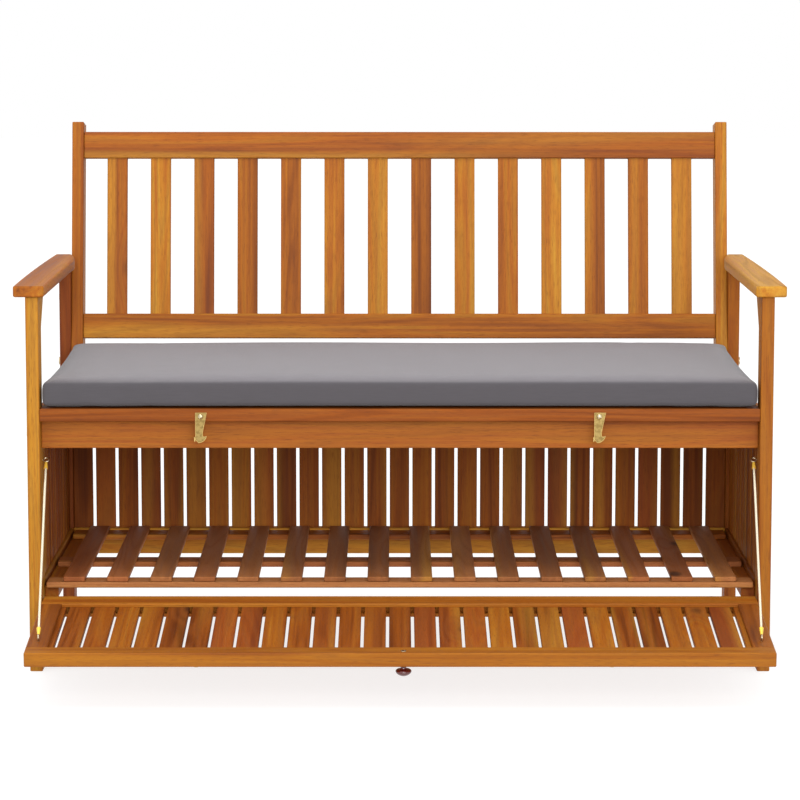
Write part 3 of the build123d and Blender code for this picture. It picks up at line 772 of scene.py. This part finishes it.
class BENCH_OT_cords(bpy.types.Operator):
    """Make the two braided cords that stay the open flap"""

    bl_idname = "bench.cords"
    bl_label = "Stay cords"

    def execute(self, context):
        settings = context.scene.bench_fittings
        shader = Shader("braided_cord")
        turn, run, _ = shader.parts(shader.node("ShaderNodeUVMap", {"uv_map": "cord_map"}).outputs[0])
        one = ((run / STRAND_PITCH + turn * 4.0) * TURN).sine()
        other = ((run / STRAND_PITCH - turn * 4.0) * TURN).sine()
        braid = one.most(other)
        dust = shader.noise(shader.object_place(), 900.0, 2.0)
        # painted shade: the grooves between the braid's strands are painted darker, with faint dust
        # mottling over all
        material = shader.finish(
            Base_Color=shader.mix(
                (1 - braid.between(-0.2, 0.9)) * 0.5 + dust * 0.15, tuple(settings.cord), (0.42, 0.34, 0.20)
            ),
            Roughness=0.85,
            Normal=shader.bump(braid, 0.5, 0.0004),
        )
        for name in ("left", "right"):
            self.cord(name, material)
        return {"FINISHED"}

    def cord(self, name, material):
        """A tube along the cord's route, from ferrule to ferrule, with its own UV map."""
        node = NODES[f"stay_cord_{name}"]
        points = np.array([v.co for v in node.data.vertices])
        heights = points[:, 2]
        top = Vector(points[heights > heights.max() - CORD_END].mean(0))
        foot = Vector(points[heights < heights.min() + CORD_END].mean(0))
        axis = (foot - top).normalized()
        route = [top.lerp(foot, i / (CORD_RINGS - 1)) for i in range(CORD_RINGS)]
        side = axis.orthogonal().normalized()
        other = axis.cross(side)
        mesh = bmesh.new()
        rings = []
        for point in route:
            ring = []
            for i in range(CORD_SIDES):
                angle = TURN * i / CORD_SIDES
                reach = side * math.cos(angle) + other * math.sin(angle)
                ring.append(mesh.verts.new(point + reach * CORD_RADIUS))
            rings.append(ring)
        layer = mesh.loops.layers.uv.new("cord_map")
        length = (foot - top).length
        for i, (ring, following) in enumerate(zip(rings, rings[1:])):
            for j in range(CORD_SIDES):
                k = (j + 1) % CORD_SIDES
                face = mesh.faces.new((ring[j], ring[k], following[k], following[j]))
                face.smooth = True
                corners = ((j, i), (j + 1, i), (j + 1, i + 1), (j, i + 1))
                for loop, (turn, run) in zip(face.loops, corners):
                    loop[layer].uv = (turn / CORD_SIDES, run / (CORD_RINGS - 1) * length)
        for ring in (rings[0], rings[-1]):
            mesh.faces.new(ring)
        bmesh.ops.recalc_face_normals(mesh, faces=mesh.faces)
        data = bpy.data.meshes.new(f"braided_cord_{name}")
        mesh.to_mesh(data)
        mesh.free()
        cord = bpy.data.objects.new(f"braided_cord_{name}", data)
        bpy.context.collection.objects.link(cord)
        dress(cord, material)
        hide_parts(f"stay_cord_{name}")
        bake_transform(cord)


class BENCH_OT_cushion(bpy.types.Operator):
    """Blow up the seat cushion by cloth simulation and sew its edges"""

    bl_idname = "bench.cushion"
    bl_label = "Cushion"

    def execute(self, context):
        settings = context.scene.bench_cushion
        deselect()
        inset = Vector((2.0, 1.0, 0.0)) * MM
        low, high = PAD_LOW + inset, PAD_HIGH - inset - Vector((0, 0, 3 * MM))
        bpy.ops.mesh.primitive_cube_add(size=1.0, location=(low + high) / 2)
        pad = context.object
        pad.scale = high - low
        settle(pad)
        apply_modifier(pad, "BEVEL", width=3 * MM, segments=3)
        apply_modifier(pad, "REMESH", mode="VOXEL", voxel_size=settings.voxel)
        self.blow_up(context, pad, settings.swell)
        apply_modifier(pad, "SMOOTH", iterations=1, factor=0.5)
        self.shape(pad)
        for polygon in pad.data.polygons:
            polygon.use_smooth = True
        apply_modifier(pad, "SUBSURF", levels=1, render_levels=1)
        dress(pad, self.fabric(tuple(settings.fabric)))
        add_piece(pad, "seat_pad", "cushion", ("cushion",))
        self.sew(pad)
        return {"FINISHED"}

    def blow_up(self, context, pad, cap):
        """Inflates the closed cover, and holds every point within cap of where it began."""
        start = np.array([v.co for v in pad.data.vertices])
        cloth = pad.modifiers.new("Cloth", "CLOTH")
        cloth.settings.use_pressure = True
        cloth.settings.uniform_pressure_force = 4.0
        cloth.settings.effector_weights.gravity = 0.0
        cloth.settings.quality = 4
        for step in range(1, 21):
            context.scene.frame_set(step)
        evaluated = pad.evaluated_get(context.evaluated_depsgraph_get())
        moved = np.array([v.co for v in evaluated.data.vertices]) - start
        reach = np.linalg.norm(moved, axis=1, keepdims=True)
        moved *= cap * np.tanh(reach / cap) / np.maximum(reach, 1e-9)
        pad.modifiers.remove(cloth)
        pad.data.vertices.foreach_set("co", (start + moved).ravel())
        context.scene.frame_set(1)

    def shape(self, pad):
        """Crowns the top, sits the underside flat on the slats and keeps clear of the legs."""
        middle = (PAD_LOW + PAD_HIGH) / 2
        half = (PAD_HIGH - PAD_LOW) / 2
        points = np.array([v.co for v in pad.data.vertices])
        for axis in range(3):  # the cover fills its place between the legs
            low, high = points[:, axis].min(), points[:, axis].max()
            stretch = 2 * half[axis] / (high - low)
            points[:, axis] = middle[axis] + (points[:, axis] - (low + high) / 2) * stretch
        u = (points[:, 0] - middle.x) / half.x
        v = (points[:, 1] - middle.y) / half.y
        # the sides pull in between the corners
        points[:, 0] = middle.x + (points[:, 0] - middle.x) * (1 - SIDE_PULL * (1 - v ** 2))
        points[:, 1] = middle.y + (points[:, 1] - middle.y) * (1 - SIDE_PULL * (1 - u ** 2))
        lift = np.clip((points[:, 2] - PAD_LOW.z) / (2 * half.z), 0, 1) ** 2
        crown = (1 - np.abs(u) ** 8) * (1 - np.abs(v) ** 5)
        points[:, 2] += lift * (2.0 + 3.0 * crown + 2.6 * (1 - u ** 2)) * MM
        # soft unevenness of a filled cover
        wave = np.sin(points[:, 0] * 9.0 + 1.0) * np.sin(points[:, 1] * 13.0 + points[:, 0] * 3.0)
        points[:, 2] += lift * wave * 1.2 * MM
        points[:, 2] = np.maximum(points[:, 2], PAD_LOW.z + 0.3 * MM)
        pad.data.vertices.foreach_set("co", points.ravel())
        pad.data.update()

    def sew(self, pad):
        """A raised seam round the cover's lower edge, laid on its surface."""
        middle = (PAD_LOW + PAD_HIGH) / 2
        half = (PAD_HIGH - PAD_LOW) / 2
        height = PAD_LOW.z + SEAM_HEIGHT
        points = []
        for i in range(SEAM_POINTS):
            angle = TURN * i / SEAM_POINTS
            flat = Vector((math.cos(angle), math.sin(angle)))
            # a rounded rectangle, even steps along its sides
            flat /= (abs(flat.x) ** 14 + abs(flat.y) ** 14) ** (1 / 14)
            aim = Vector((-flat.x ** 9, -flat.y ** 9, 0)).normalized()
            outside = Vector((middle.x + flat.x * half.x * 1.02, middle.y + flat.y * half.y * 1.05, height))
            hit, at, normal, _ = pad.ray_cast(outside - aim * 30 * MM, aim)
            if hit:
                points.append(at + normal * 0.2 * MM)
        curve = bpy.data.curves.new("seam_lower", "CURVE")
        curve.dimensions = "3D"
        curve.bevel_depth = 0.7 * MM
        curve.bevel_resolution = 2
        spline = curve.splines.new("NURBS")
        spline.points.add(len(points) - 1)
        for point, at in zip(spline.points, points):
            point.co = (*at, 1.0)
        spline.use_cyclic_u = True
        spline.order_u = 4
        spline.resolution_u = 2
        seam = bpy.data.objects.new("seam_lower", curve)
        bpy.context.collection.objects.link(seam)
        deselect()
        seam.select_set(True)
        bpy.context.view_layer.objects.active = seam
        bpy.ops.object.convert(target="MESH")
        seam = bpy.context.object
        dress(seam, self.fabric((0.12, 0.11, 0.12), "cushion_seam"))
        add_piece(seam, "cushion_seam_lower", "cushion")

    def fabric(self, colour, name="cushion_cover"):
        """Grey polyester canvas: fine plain weave, faint slubs, soft mottling, and painted shade on its
        sides.
        """
        shader = Shader(name)
        place = shader.object_place()
        x, y, z = shader.parts(place)
        turn = TURN / (1.3 * MM)
        warp = (x * turn).sine()
        weft = ((y + z) * turn).sine()
        weave = warp * weft
        slubs = shader.noise(shader.mapped(place, scale=(40, 600, 600)), 1.0, 2.0)
        mottle = shader.noise(place, 22.0, 3.0)
        folds = shader.noise(shader.mapped(place, scale=(5, 9, 9)), 1.0, 2.0)
        light = tuple(min(1.0, c * 1.25) for c in colour)
        dark = tuple(c * 0.72 for c in colour)
        cover = shader.mix(slubs * 0.6 + mottle * 0.4, dark, light)
        # painted shade: the sides, up to the top's rounded edge, are painted far darker, as if lit only
        # from above
        painted_side_shade = 1 - z.between(PAD_HIGH.z - 5 * MM, PAD_HIGH.z + 3 * MM)
        shade = shader.mix(painted_side_shade * 0.65, cover, tuple(c * 0.16 for c in colour))
        weave_bump = shader.bump(weave, 0.35, 0.0003)
        return shader.finish(
            Base_Color=shade,
            Roughness=0.86 + (mottle - 0.5) * 0.12,
            Normal=shader.bump(folds, 0.25, 0.006, under=weave_bump),
            Sheen_Weight=0.25,
        )


class BENCH_PT_panel(bpy.types.Panel):
    """The bench's pieces and settings"""

    bl_label = "Garden Storage Bench"
    bl_idname = "BENCH_PT_panel"
    bl_space_type = "VIEW_3D"
    bl_region_type = "UI"
    bl_category = "Bench"

    def draw(self, context):
        for operator in OPERATORS:
            self.layout.operator(operator.bl_idname)


GROUPS = {"bench_cushion": BenchCushion, "bench_fittings": BenchFittings, "bench_stage": BenchStage}
OPERATORS = (
    BENCH_OT_stage,
    BENCH_OT_wood,
    BENCH_OT_fittings,
    BENCH_OT_hooks,
    BENCH_OT_cords,
    BENCH_OT_cushion,
)


def register():
    for cls in (*GROUPS.values(), *OPERATORS, BENCH_PT_panel):
        bpy.utils.register_class(cls)
    for name, group in GROUPS.items():
        setattr(bpy.types.Scene, name, bpy.props.PointerProperty(type=group))


def unregister():
    for name in GROUPS:
        delattr(bpy.types.Scene, name)
    for cls in reversed((*GROUPS.values(), *OPERATORS, BENCH_PT_panel)):
        bpy.utils.unregister_class(cls)


def main():
    register()
    for operator in OPERATORS:
        group, action = operator.bl_idname.split(".")
        getattr(getattr(bpy.ops, group), action)()


if __name__ == "__main__":
    main()
